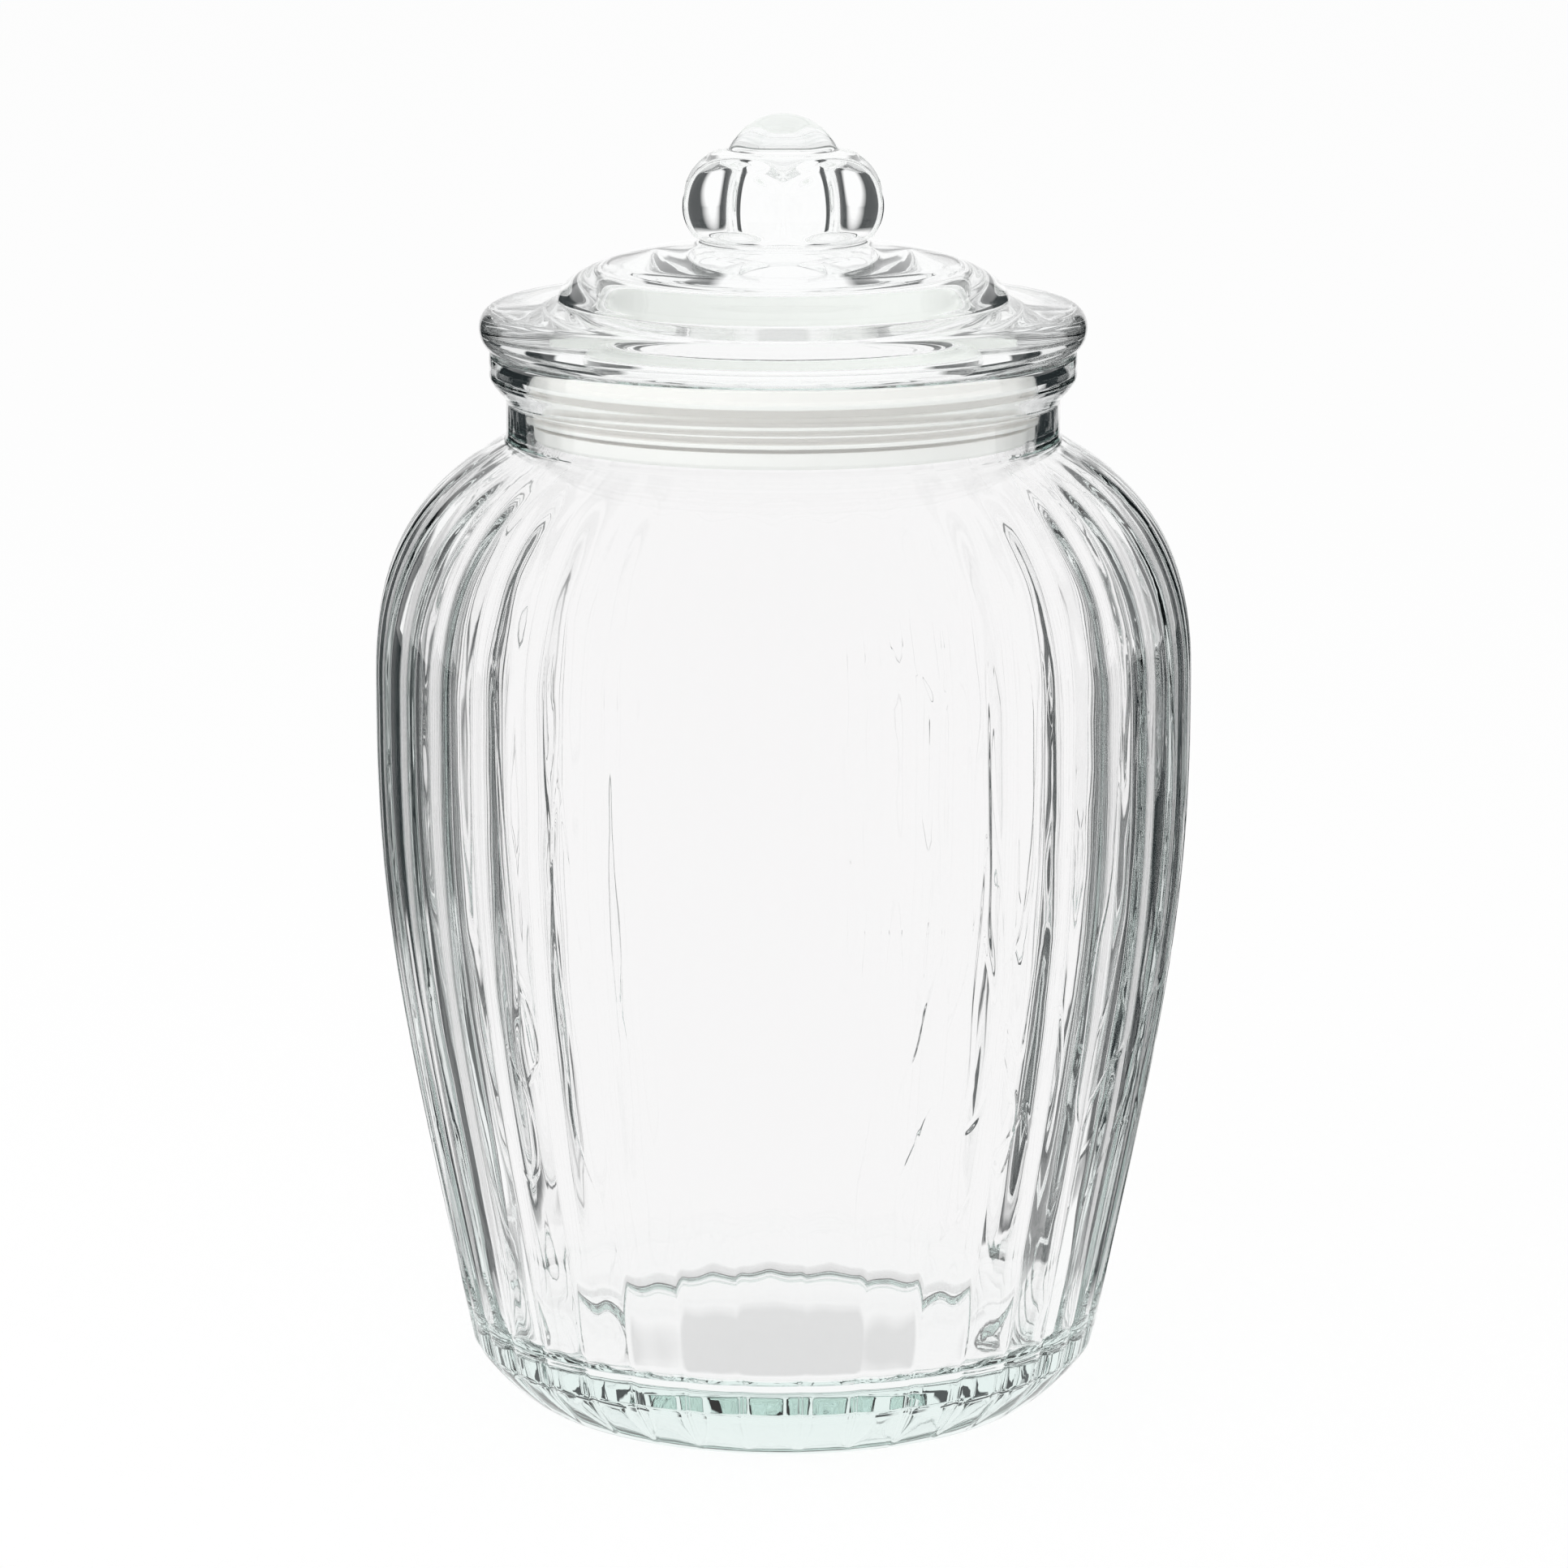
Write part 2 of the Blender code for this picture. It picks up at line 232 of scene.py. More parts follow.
class Studio(bpy.types.PropertyGroup):
    """Camera, floor and light."""

    camera_distance: length("Camera distance", 1.25, "From the jar's axis to the camera")
    camera_height: length("Camera height", 0.3825, "Height of the camera above the floor")
    camera_fall: turn("Camera fall", 11.62, "How far the camera looks down")
    camera_side: length("Camera side", 0.00016, "How far the camera stands to the right of the jar's axis")
    camera_lens: bpy.props.FloatProperty(
        name="Lens", description="Focal length", default=144.2, subtype="DISTANCE_CAMERA"
    )
    floor_radius: length("Floor radius", 8.0, "Radius of the round floor")
    card_start: length("Card start", 0.088, "Distance from the jar at which the dark cards begin")
    card_colour: colour("Card colour", (0.022, 0.028, 0.030), "Colour of the dark cards between the lights")
    card_inner: turn("Card inner edge", 16.5, "Angle from +Y at which a dark card begins")
    card_spread: share("Card spread", 2.5, "Degrees by which the floor's cards begin later, at 1 m from the jar")
    card_outer: turn("Card outer edge", 78, "Angle from +Y at which the floor's cards end near the jar")
    card_outer_far: turn("Far outer edge", 46, "Angle from +Y at which the cards end far away and in the sky")
    card_narrowing: length("Card narrowing", 2.5, "Distance from the jar at which the floor's cards narrow")
    card_top: share("Card top", 0.2, "Sine of the height at which the sky's cards begin to fade")
    card_top_fade: share("Card top fade", 0.06, "Rise of that sine over which they fade")
    gap_start: turn("Gap start", 38, "Angle from +Y to -X at which the near card's gap begins")
    gap_end: turn("Gap end", 52, "Angle from +Y to -X at which the near card's gap ends")
    gap_reach: length("Gap reach", 0.34, "Distance from the jar at which the gap ends")
    # A painted shadow of the jar on the floor under its middle. Only glass and mirrors show it; the camera sees
    # the floor white.
    foot_shade: share("Foot shade", 0.66, "Paleness of the floor under the middle of the jar")
    foot_shade_start: length("Foot shade start", 0.024, "Radius up to which the floor has that paleness")
    foot_shade_end: length("Foot shade end", 0.032, "Radius from which the floor is white again")
    shadow_share: share("Shadow share", 0.16, "How much of the floor's own shade shows")
    light_level: share("Light level", 0.92, "Strength of the light from all round")
    lamp_size: length("Lamp size", 0.9, "Side of the soft lamp")
    lamp_power: bpy.props.FloatProperty(
        name="Lamp power", description="Power of the lamp", default=6.0, unit="POWER"
    )


def bezier(start, start_pull, end_pull, end):
    """A cubic curve from start to end, whose handles are offsets from its ends."""
    start, end = np.array(start), np.array(end)
    along = np.linspace(0, 1, 80)[:, None]
    back = 1 - along
    first, second = start + np.array(start_pull), end + np.array(end_pull)
    return back**3 * start + 3 * back**2 * along * first + 3 * back * along**2 * second + along**3 * end


def quarter(start, end, level_first, power=2.0):
    """A quarter superellipse from start to end, which leaves start level or upright."""
    angle = np.linspace(0, math.pi / 2, 48)
    rising = np.sin(angle) ** (2 / power)
    falling = np.cos(angle) ** (2 / power)
    falling[-1] = 0
    across, down = (rising, 1 - falling) if level_first else (1 - falling, rising)
    start, end = np.array(start), np.array(end)
    return np.stack([start[0] + (end[0] - start[0]) * across, start[1] + (end[1] - start[1]) * down], axis=1)


def smooth_step(value):
    """0 below 0, 1 above 1, and a smooth rise between."""
    value = np.clip(value, 0, 1)
    return value * value * (3 - 2 * value)


def profile_rows(pieces, corner, count, closed=False):
    """Joins pieces of outline, softens their corners and places count rows, closest where they bend.

    The outline is sampled evenly by its length and averaged under a bell curve of width corner. Rows are
    spread by length plus a share of the angle turned. A piece is (points, mask values).
    """
    stacked = []
    for points, masks in pieces:
        points = np.atleast_2d(np.array(points, dtype=float))
        stacked.append(np.hstack([points, np.tile(masks, (len(points), 1))]))
    line = np.vstack(stacked)
    if closed:
        line = np.vstack([line, line[:1]])
    step = np.hypot(*np.diff(line[:, :2], axis=0).T)
    line = line[np.concatenate([[True], step > 1e-9])]
    run = np.concatenate([[0], np.cumsum(np.hypot(*np.diff(line[:, :2], axis=0).T))])
    even = np.linspace(0, run[-1], OUTLINE_SAMPLES)
    dense = np.stack([np.interp(even, run, column) for column in line.T], axis=1)
    width = max(int(4 * corner / even[1]), 2)
    offsets = np.arange(-width, width + 1) * even[1]
    bell = np.exp(-0.5 * (offsets / corner) ** 2)
    bell /= bell.sum()
    if closed:
        padded = np.vstack([dense[-width - 1:-1], dense, dense[1:width + 1]])
    else:
        before, after = dense[width:0:-1].copy(), dense[-2:-width - 2:-1].copy()
        before[:, 0] *= -1
        after[:, 0] *= -1
        padded = np.vstack([before, dense, after])
    dense = np.stack([np.convolve(column, bell, mode="valid") for column in padded.T], axis=1)
    heading = np.unwrap(np.arctan2(*np.diff(dense[:, :2], axis=0).T[::-1]))
    bend = np.concatenate([[0], np.abs(np.diff(heading)), [0]])
    weight = np.cumsum(1 / OUTLINE_SAMPLES + BEND_SHARE * bend / max(bend.sum(), 1e-9))
    weight -= weight[0]
    rows = np.interp(np.linspace(0, weight[-1], count), weight, even)
    placed = np.stack([np.interp(rows, even, column) for column in dense.T], axis=1)
    if closed:
        return placed[:-1]
    placed[0, 0] = placed[-1, 0] = 0
    return placed


def ripples(angle, height, seed, count, waves, rises, sway):
    """Sum of cosines round the axis whose phase drifts and sways with the height, between about -1 and 1."""
    random = np.random.default_rng(seed)
    total = np.zeros(np.broadcast(angle, height).shape)
    for _ in range(count):
        around = random.integers(waves[0], waves[1] + 1)
        drift = random.uniform(-rises, rises) * 2 * math.pi
        phase, sway_phase, sway_rise = random.uniform(0, 2 * math.pi, 3)
        swing = sway * np.cos(height * rises * (1 + sway_rise) * 2 * math.pi + sway_phase)
        total += np.cos(around * angle + drift * height + phase + swing)
    return total / math.sqrt(count)


def turned_mesh(name, radius, height, angles, closed=False):
    """A grid of rows and columns carried round Z. Where the profile is open its two ends are poles."""
    rows, columns = radius.shape
    heights = np.broadcast_to(height, radius.shape)
    grid = np.stack([radius * np.cos(angles), radius * np.sin(angles), heights], axis=2).reshape(-1, 3)
    index = np.arange(rows * columns).reshape(rows, columns)
    nearer, further = (index, np.roll(index, -1, axis=0)) if closed else (index[1:-2], index[2:-1])
    around = [nearer, np.roll(nearer, -1, axis=1), np.roll(further, -1, axis=1), further]
    faces = np.stack(around, axis=2).reshape(-1, 4).tolist()
    if not closed:
        first, last = index[1], index[-2]
        faces += np.stack([np.full(columns, index[0, 0]), np.roll(first, -1), first], axis=1).tolist()
        faces += np.stack([last, np.roll(last, -1), np.full(columns, index[-1, 0])], axis=1).tolist()
        kept = np.ones(rows * columns, dtype=bool)
        kept[index[0, 1:]] = kept[index[-1, 1:]] = False
        renumbered = np.cumsum(kept) - 1
        faces = [[int(renumbered[corner]) for corner in face] for face in faces]
        grid = grid[kept]
    mesh = bpy.data.meshes.new(name)
    mesh.from_pydata(grid.tolist(), [], faces)
    mesh.update()
    mesh.shade_smooth()
    obj = bpy.data.objects.new(name, mesh)
    bpy.context.scene.collection.objects.link(obj)
    return obj


def wall_line(sizes, inset, heel_inset, neck_end):
    """The shoulder and side, from the neck down to the heel, set in from the ribs' crests."""
    neck_inset = sizes.neck_radius - neck_end[0]
    belly_bottom_height = sizes.heel_height + sizes.side_height
    belly_top = (sizes.body_radius - inset, belly_bottom_height + sizes.belly_length)
    belly_bottom = (sizes.body_radius - inset, belly_bottom_height)
    heel = (sizes.heel_radius - heel_inset, sizes.heel_height + heel_inset)
    pull = sizes.shoulder_neck_pull + neck_inset
    fall = (pull * math.cos(sizes.shoulder_fall), -pull * math.sin(sizes.shoulder_fall))
    lean = (sizes.side_heel_pull * math.tan(sizes.side_heel_lean), sizes.side_heel_pull)
    shoulder = bezier(neck_end, fall, (0, sizes.shoulder_belly_pull - inset), belly_top)
    side = bezier(belly_bottom, (0, -sizes.side_belly_pull), lean, heel)
    return np.vstack([shoulder, side])


def body_rows(sizes, count):
    """Rows of the body, from the middle of the foot, up the outside, down the inside to the floor.

    The first mask is 1 where ribs may be, and the second is 1 on the inner wall.
    """
    neck_base = sizes.heel_height + sizes.side_height + sizes.belly_length + sizes.shoulder_height
    neck_top = neck_base + sizes.neck_length
    bead_bottom = neck_top + sizes.bead_slope_length
    rim = bead_bottom + sizes.bead_side_length
    bead = sizes.neck_radius + sizes.bead_reach
    bore = sizes.neck_radius - sizes.neck_wall
    ring_inside = sizes.foot_radius - sizes.foot_ring_width
    outside = wall_line(sizes, 0, 0, (sizes.neck_radius, neck_base))[::-1]
    heel = quarter(outside[0], (sizes.foot_radius, 0), False, sizes.heel_power)[::-1]
    bend = (math.pi / 2 - sizes.shoulder_fall) / 2
    bore_end = (bore, neck_base - sizes.neck_wall * math.tan(bend))
    inside = wall_line(sizes, sizes.body_wall, sizes.heel_wall, bore_end)
    floor = sizes.punt_height + sizes.floor_thickness
    inside = inside[inside[:, 1] > floor + sizes.floor_corner_height]
    corner = quarter(inside[-1], (inside[-1][0] - sizes.floor_corner, floor), False)
    smooth, ribbed, inner = (0, 0), (1, 0), (0, 1)
    foot = [(0, sizes.punt_height), (ring_inside - sizes.punt_slope_width, sizes.punt_height)]
    return profile_rows([
        (foot + [(ring_inside, 0)], smooth),
        (heel, ribbed), (outside, ribbed),
        ([(sizes.neck_radius, neck_top), (bead, bead_bottom), (bead, rim)], smooth),
        ([(bore + sizes.lip_chamfer, rim), (bore, rim - sizes.lip_chamfer)], smooth),
        (inside, inner), (corner, inner), ([(0, floor)], inner),
    ], sizes.corner, count)


def body_radius(sizes, profile, angles):
    """Radius of the body at each row and angle.

    Between two crests the wall falls by the rib's depth times a power of the way across. Where the ribs
    fade, only what lies below the faded depth is cut, so a valley ends as a leaf. The inner wall follows a
    share of it as a cosine, and has ripples.
    """
    radius, height, ribbed, inner = (column[:, None] for column in profile.T)
    neck_base = sizes.heel_height + sizes.side_height + sizes.belly_length + sizes.shoulder_height
    turns = (angles - sizes.rib_turn) / (2 * math.pi / sizes.rib_count)
    across = np.abs(2 * (turns - np.round(turns)))
    top = smooth_step((neck_base - sizes.rib_top_drop - height) / sizes.rib_top_fade)
    foot = smooth_step(height / sizes.rib_foot_fade)
    left = across**sizes.rib_power - (1 - top * foot)
    cut = (left + np.sqrt(left**2 + RIB_END_SOFTNESS)) / 2
    floor = sizes.punt_height + sizes.floor_thickness
    inside = (1 - np.cos(math.pi * across)) / 2 * top
    inside = inside * smooth_step((height - floor - sizes.rib_inside_start) / sizes.rib_inside_fade)
    cut = cut * smooth_step(ribbed) + sizes.rib_follow_share * inside * inner
    ripple = ripples(angles, height, seed=5, count=14, waves=(24, 84), rises=9, sway=1.4)
    ripple = ripple * smooth_step((height - sizes.ripple_start) / sizes.ripple_fade)
    return radius - sizes.rib_depth * cut + sizes.ripple_height * ripple * inner


def rib_angles(sizes):
    """Angles of the columns, which lie closer together in the valleys."""
    even = np.linspace(-1, 1, RIB_COLUMNS, endpoint=False)
    within = even - COLUMN_PULL * np.sin(2 * math.pi * even) / math.pi
    ribs = np.arange(sizes.rib_count)[:, None] + within / 2
    return sizes.rib_turn + ribs.ravel() * 2 * math.pi / sizes.rib_count


def lid_places(sizes, body):
    """Radii and heights that the lid and the seal share with the neck."""
    rim = (
        body.heel_height + body.side_height + body.belly_length + body.shoulder_height
        + body.neck_length + body.bead_slope_length + body.bead_side_length
    )
    fin_edge = body.neck_radius - body.neck_wall - sizes.bore_gap
    stem = fin_edge - sizes.fin_reach
    sleeve = stem - sizes.seal_wall
    return rim, fin_edge, stem, sleeve, sleeve - sizes.seal_gap


def lid_rows(sizes, body, count):
    """Rows of the lid, from the middle of its hollow, round the plug, the flange and the dome, to the cap.

    The first mask is 1 on the knob, where the lobes are.
    """
    rim, _, _, _, plug = lid_places(sizes, body)
    flange = body.neck_radius + body.bead_reach + sizes.flange_overhang
    belly = sizes.seat_gap + sizes.flange_lower_height
    edge = belly + sizes.flange_upper_height
    dome_foot = edge + sizes.flange_rise
    waist = dome_foot + sizes.dome_height
    knob_belly = waist + sizes.knob_lower_height
    knob_top = knob_belly + sizes.knob_upper_height
    foot = -sizes.plug_depth
    bead_foot = foot + sizes.plug_round
    inner = plug - sizes.plug_wall
    ceiling = waist - sizes.ceiling_thickness
    ceiling_edge = inner - sizes.plug_wall_lean
    hollow_top = (ceiling_edge - sizes.ceiling_round, ceiling)
    hollow = quarter((ceiling_edge, ceiling - sizes.ceiling_round), hollow_top, False)
    plug_corner = quarter((plug, bead_foot), (plug - sizes.plug_round, foot), False)
    edge_line = (flange, belly)
    under = quarter(edge_line, (flange - sizes.flange_round, sizes.seat_gap), False)
    over = quarter((flange - sizes.flange_round, edge), edge_line, True)
    dome = quarter((0, waist), (plug - sizes.dome_inset, dome_foot), True, sizes.dome_power)
    dome = dome[dome[:, 0] > sizes.knob_waist_radius]
    lower = quarter((sizes.knob_radius, knob_belly), (sizes.knob_waist_radius, waist), False)
    upper = quarter((sizes.cap_radius, knob_top), (sizes.knob_radius, knob_belly), True)
    ball = (sizes.cap_radius**2 + sizes.cap_height**2) / (2 * sizes.cap_height)
    sweep = np.linspace(math.asin(sizes.cap_radius / ball), 0, 40)
    cap = np.stack([ball * np.sin(sweep), knob_top + sizes.cap_height - ball * (1 - np.cos(sweep))], axis=1)
    bead = [(plug, bead_foot), (plug + sizes.plug_bead, bead_foot + sizes.plug_bead_height / 2)]
    plain, lobed = (0, 0), (1, 0)
    rows = profile_rows([
        ([(0, ceiling)], plain), (hollow[::-1], plain), ([(inner, foot)], plain), (plug_corner[::-1], plain),
        (bead + [(plug, bead_foot + sizes.plug_bead_height), (plug, sizes.seat_gap)], plain),
        (under[::-1], plain), (over[::-1], plain), (dome[::-1], plain),
        (lower[::-1], lobed), (upper[::-1], lobed), (cap, plain),
    ], sizes.lid_corner, count)
    return rows + np.array([0, rim, 0, 0]), rim + waist, rim + knob_top


def lid_radius(sizes, profile, angles, waist, knob_top):
    """Radius of the lid. Between two crests the knob's section falls by a power of a sine of the angle."""
    radius, height, lobed, _ = (column[:, None] for column in profile.T)
    pitch = 2 * math.pi / sizes.lobe_count
    turns = (angles - sizes.lobe_turn) / pitch
    lobe = 1 - sizes.lobe_depth_share * np.abs(np.sin(math.pi * turns)) ** sizes.lobe_power
    fade = smooth_step((height - waist) / sizes.lobe_fade) * smooth_step((knob_top - height) / sizes.lobe_fade)
    return radius * (1 - (1 - lobe) * fade * smooth_step(lobed))


def seal_rows(sizes, body, count):
    """Rows of the seal, a closed loop up the fins and down the inside, with a groove for the plug's bead."""
    rim, fin_edge, stem, sleeve, _ = lid_places(sizes, body)
    band_edge = fin_edge - sizes.band_step
    foot = -sizes.plug_depth - sizes.seal_drop
    groove = sizes.plug_round + sizes.plug_bead_height / 2 - sizes.plug_depth
    half = sizes.plug_bead_height / 2 + sizes.seal_gap
    pitch = (-foot - sizes.collar_height - sizes.band_height) / sizes.fin_count
    line = [(sleeve, foot), (band_edge - sizes.band_chamfer, foot), (band_edge, foot + sizes.band_chamfer)]
    line += [(band_edge, foot + sizes.band_height), (stem, foot + sizes.band_height)]
    for number in reversed(range(sizes.fin_count)):
        middle = -sizes.collar_height - pitch * (number + 1 / 2)
        line += [(stem, middle - sizes.fin_root_thickness / 2), (fin_edge, middle - sizes.fin_thickness / 2)]
        line += [(fin_edge, middle + sizes.fin_thickness / 2), (stem, middle + sizes.fin_root_thickness / 2)]
    line += [(stem, 0), (sleeve, 0), (sleeve, groove + half)]
    line += [(sleeve + sizes.plug_bead, groove), (sleeve, groove - half)]
    rows = profile_rows([(line, (0, 0))], sizes.seal_corner, count, closed=True)
    return rows + np.array([0, rim, 0, 0])


def feed(tree, socket, value):
    """Links a socket to an input, or gives the input a plain value."""
    if isinstance(value, bpy.types.NodeSocket):
        tree.links.new(value, socket)
    else:
        socket.default_value = value


def node(tree, kind, place, values=(), **settings):
    """A shader node with its settings and its input values, each plain or a socket."""
    made = tree.nodes.new(kind)
    made.location = place
    for name, value in settings.items():
        setattr(made, name, value)
    for socket, value in dict(values).items():
        feed(tree, made.inputs[socket], value)
    return made


def joined(tree, operation, first, second=0.0):
    """The result of a Math node on two values or sockets."""
    return node(tree, "ShaderNodeMath", (-250, 300), {0: first, 1: second}, operation=operation).outputs[0]


def ramp(tree, value, first, last, near, far, **settings):
    """The value near up to first, far from last on, and a straight change between."""
    values = {"Value": value, "From Min": first, "From Max": last, "To Min": near, "To Max": far}
    return node(tree, "ShaderNodeMapRange", (-500, 250), values, **settings).outputs["Result"]


def mixed_colour(tree, factor, first, second):
    """Mixes two colours, each a value or a socket, by a socket."""
    values = {"Factor": factor, "A": first, "B": second}
    return node(tree, "ShaderNodeMix", (200, 300), values, data_type="RGBA").outputs["Result"]


def new_group(name, inputs, output):
    """A shader node group with named inputs and one named number as its output."""
    group = bpy.data.node_groups.new(name, "ShaderNodeTree")
    for socket, kind, default in inputs:
        made = group.interface.new_socket(name=socket, in_out="INPUT", socket_type=kind)
        if default is not None:
            made.default_value = default
    group.interface.new_socket(name=output, in_out="OUTPUT", socket_type="NodeSocketFloat")
    return group, group.nodes.new("NodeGroupInput"), group.nodes.new("NodeGroupOutput")


def new_material(name):
    """A material with nodes, and its node tree."""
    material = bpy.data.materials.new(name)
    material.use_nodes = True
    return material, material.node_tree


def drawn_out(group, entry):
    """The place on the piece, and that place with its height multiplied by the group's Stretch."""
    place = node(group, "ShaderNodeTexCoord", (-1100, 0)).outputs["Object"]
    scale = node(group, "ShaderNodeCombineXYZ", (-900, -200), {"X": 1.0, "Y": 1.0, "Z": entry.outputs["Stretch"]})
    drawn = node(group, "ShaderNodeVectorMath", (-700, 0), {0: place, 1: scale.outputs[0]}, operation="MULTIPLY")
    return place, drawn.outputs[0]


def ripple_group():
    """Height of the fine waves that melting and moulding leave in a surface, drawn out along Z."""
    inputs = [("Scale", "NodeSocketFloat", 60.0), ("Stretch", "NodeSocketFloat", 0.25)]
    group, entry, leave = new_group("moulded_waves", inputs, "Height")
    _, drawn = drawn_out(group, entry)
    noise = node(group, "ShaderNodeTexNoise", (-300, 0), {
        "Vector": drawn, "Scale": entry.outputs["Scale"], "Detail": 2.0, "Roughness": 0.45,
    })
    feed(group, leave.inputs["Height"], noise.outputs["Fac"])
    return group


def shared_waves():
    """The one group of fine waves that every material uses."""
    return bpy.data.node_groups.get("moulded_waves") or ripple_group()


def wrinkle_group():
    """1 on thin wavy lines that run up and down, which the cool mould leaves in patches, and 0 elsewhere.

    The lines are where a noise drawn out along Z crosses one half. A second noise leaves them in patches,
    and two ramps of the height keep them off the foot and the shoulder.
    """
    inputs = [
        ("Scale", "NodeSocketFloat", 55.0), ("Stretch", "NodeSocketFloat", 0.08),
        ("Width", "NodeSocketFloat", 0.012),
    ]
    group, entry, leave = new_group("cool_wrinkles", inputs, "Height")
    place, drawn = drawn_out(group, entry)
    noise = node(group, "ShaderNodeTexNoise", (-500, 0), {
        "Vector": drawn, "Scale": entry.outputs["Scale"], "Detail": 1.5, "Roughness": 0.5, "Distortion": 0.3,
    })
    off = joined(group, "ABSOLUTE", joined(group, "SUBTRACT", noise.outputs["Fac"], 0.5))
    line = ramp(group, off, 0.0, entry.outputs["Width"], 1.0, 0.0, interpolation_type="SMOOTHSTEP")
    patches = node(group, "ShaderNodeTexNoise", (-500, -300), {"Vector": drawn, "Scale": 14.0, "Detail": 1.0})
    patch = ramp(group, patches.outputs["Fac"], *WRINKLE_PATCHES, 0.0, 1.0)
    height = node(group, "ShaderNodeSeparateXYZ", (-500, -600), {0: place}).outputs["Z"]
    above = ramp(group, height, *WRINKLE_START, 0.0, 1.0)
    below = ramp(group, height, *WRINKLE_END, 1.0, 0.0)
    product = line
    for mask in (patch, above, below):
        product = joined(group, "MULTIPLY", product, mask)
    feed(group, leave.inputs["Height"], product)
    return group


def waves(tree, scale, stretch):
    """The height of the fine waves at this scale and stretch."""
    values = {"Scale": scale, "Stretch": stretch}
    return node(tree, "ShaderNodeGroup", (-500, -200), values, node_tree=shared_waves()).outputs["Height"]


def raise_surface(tree, height, strength, distance):
    """Bends the surface's normals by a height."""
    values = {"Height": height, "Strength": strength, "Distance": distance}
    bump = node(tree, "ShaderNodeBump", (-250, -200), values)
    feed(tree, tree.nodes["Principled BSDF"].inputs["Normal"], bump.outputs["Normal"])


def glass_material(name, finishes, tint, density, scale, stretch, wrinkle=0.0):
    """Clear glass whose thick parts turn green, with fine waves in its surface and thin wrinkles if asked.

    Shadow and diffuse rays pass straight through it, so that its shadow is faint.
    """
    material, tree = new_material(name)
    shader, leave = tree.nodes["Principled BSDF"], tree.nodes["Material Output"]
    shader.inputs["Base Color"].default_value = (*tint, 1)
    shader.inputs["Roughness"].default_value = 0.0
    shader.inputs["Transmission Weight"].default_value = 1.0
    shader.inputs["IOR"].default_value = finishes.glass_index
    height = waves(tree, scale, stretch)
    if wrinkle:
        lines = node(tree, "ShaderNodeGroup", (-700, -400), node_tree=wrinkle_group()).outputs["Height"]
        height = joined(tree, "ADD", height, joined(tree, "MULTIPLY", lines, wrinkle))
    raise_surface(tree, height, 1.0, finishes.glass_ripple)
    depth = {"Color": (*finishes.glass_depth, 1), "Density": density}
    absorb = node(tree, "ShaderNodeVolumeAbsorption", (100, -300), depth)
    tree.links.new(absorb.outputs["Volume"], leave.inputs["Volume"])
    rays = node(tree, "ShaderNodeLightPath", (100, 500))
    clear = node(tree, "ShaderNodeBsdfTransparent", (100, 150), {"Color": CLEAR_COLOUR})
    surface = shader.outputs[0]
    for step, ray in enumerate(("Is Diffuse Ray", "Is Shadow Ray")):
        mix = node(tree, "ShaderNodeMixShader", (400 + 200 * step, 200))
        for number, source in enumerate((rays.outputs[ray], surface, clear.outputs[0])):
            tree.links.new(source, mix.inputs[number])
        surface = mix.outputs[0]
    tree.links.new(surface, leave.inputs["Surface"])
    return material


def seal_material(finishes):
    """Milky plastic, slightly mottled, with the fine lines of its mould."""
    material, tree = new_material("milky_seal_plastic")
    shader = tree.nodes["Principled BSDF"]
    shader.inputs["Subsurface Weight"].default_value = 0.35
    shader.inputs["Subsurface Radius"].default_value = (0.003, 0.003, 0.003)
    shader.inputs["IOR"].default_value = 1.5
    place = node(tree, "ShaderNodeTexCoord", (-1100, 0)).outputs["Object"]
    noise = node(tree, "ShaderNodeTexNoise", (-800, 100), {"Vector": place, "Scale": 90.0, "Detail": 3.0})
    mottle = noise.outputs["Fac"]
    darker, paler = (
        (*[min(level * value, 1) for value in finishes.seal_colour], 1)
        for level in (1 - SEAL_MOTTLE, 1 + SEAL_MOTTLE)
    )
    feed(tree, shader.inputs["Base Color"], mixed_colour(tree, mottle, darker, paler))
    smoother, rougher = finishes.seal_roughness - 0.05, finishes.seal_roughness + 0.05
    feed(tree, shader.inputs["Roughness"], ramp(tree, mottle, 0.0, 1.0, smoother, rougher))
    raise_surface(tree, waves(tree, 400.0, 1.0), 0.5, 0.00005)
    return material


def card_group():
    """1 away from the dark cards, and 0 where they stand on both sides of +Y, from Inner to Outer round Z."""
    inputs = [
        ("Direction", "NodeSocketVector", None), ("Inner", "NodeSocketFloat", 0.4),
        ("Outer", "NodeSocketFloat", 1.4),
    ]
    group, entry, leave = new_group("dark_cards", inputs, "Pale")
    split = node(group, "ShaderNodeSeparateXYZ", (-900, 0), {0: entry.outputs["Direction"]})
    compass = joined(group, "ARCTAN2", split.outputs["X"], split.outputs["Y"])
    size = joined(group, "ABSOLUTE", compass)
    before = joined(group, "SUBTRACT", entry.outputs["Inner"], size)
    beyond = joined(group, "SUBTRACT", size, entry.outputs["Outer"])
    outside = joined(group, "MAXIMUM", before, beyond)
    feed(group, leave.inputs["Pale"], ramp(group, outside, -CARD_SOFTNESS, CARD_SOFTNESS, 0.0, 1.0))
    return group


def card_shade(tree, place, cards, inner, outer):
    """The paleness of a direction beside the cards, which stand from inner to outer, each a value or a socket."""
    values = {"Direction": place, "Inner": inner, "Outer": outer}
    return node(tree, "ShaderNodeGroup", (-300, 300), values, node_tree=cards).outputs["Pale"]


def seen_rays(tree):
    """The light path, and 1 on the rays that the camera, a mirror or clear glass sends out."""
    rays = node(tree, "ShaderNodeLightPath", (-600, -300))
    direct = joined(tree, "MAXIMUM", rays.outputs["Is Camera Ray"], rays.outputs["Is Glossy Ray"])
    return rays, joined(tree, "MAXIMUM", direct, rays.outputs["Is Transmission Ray"])


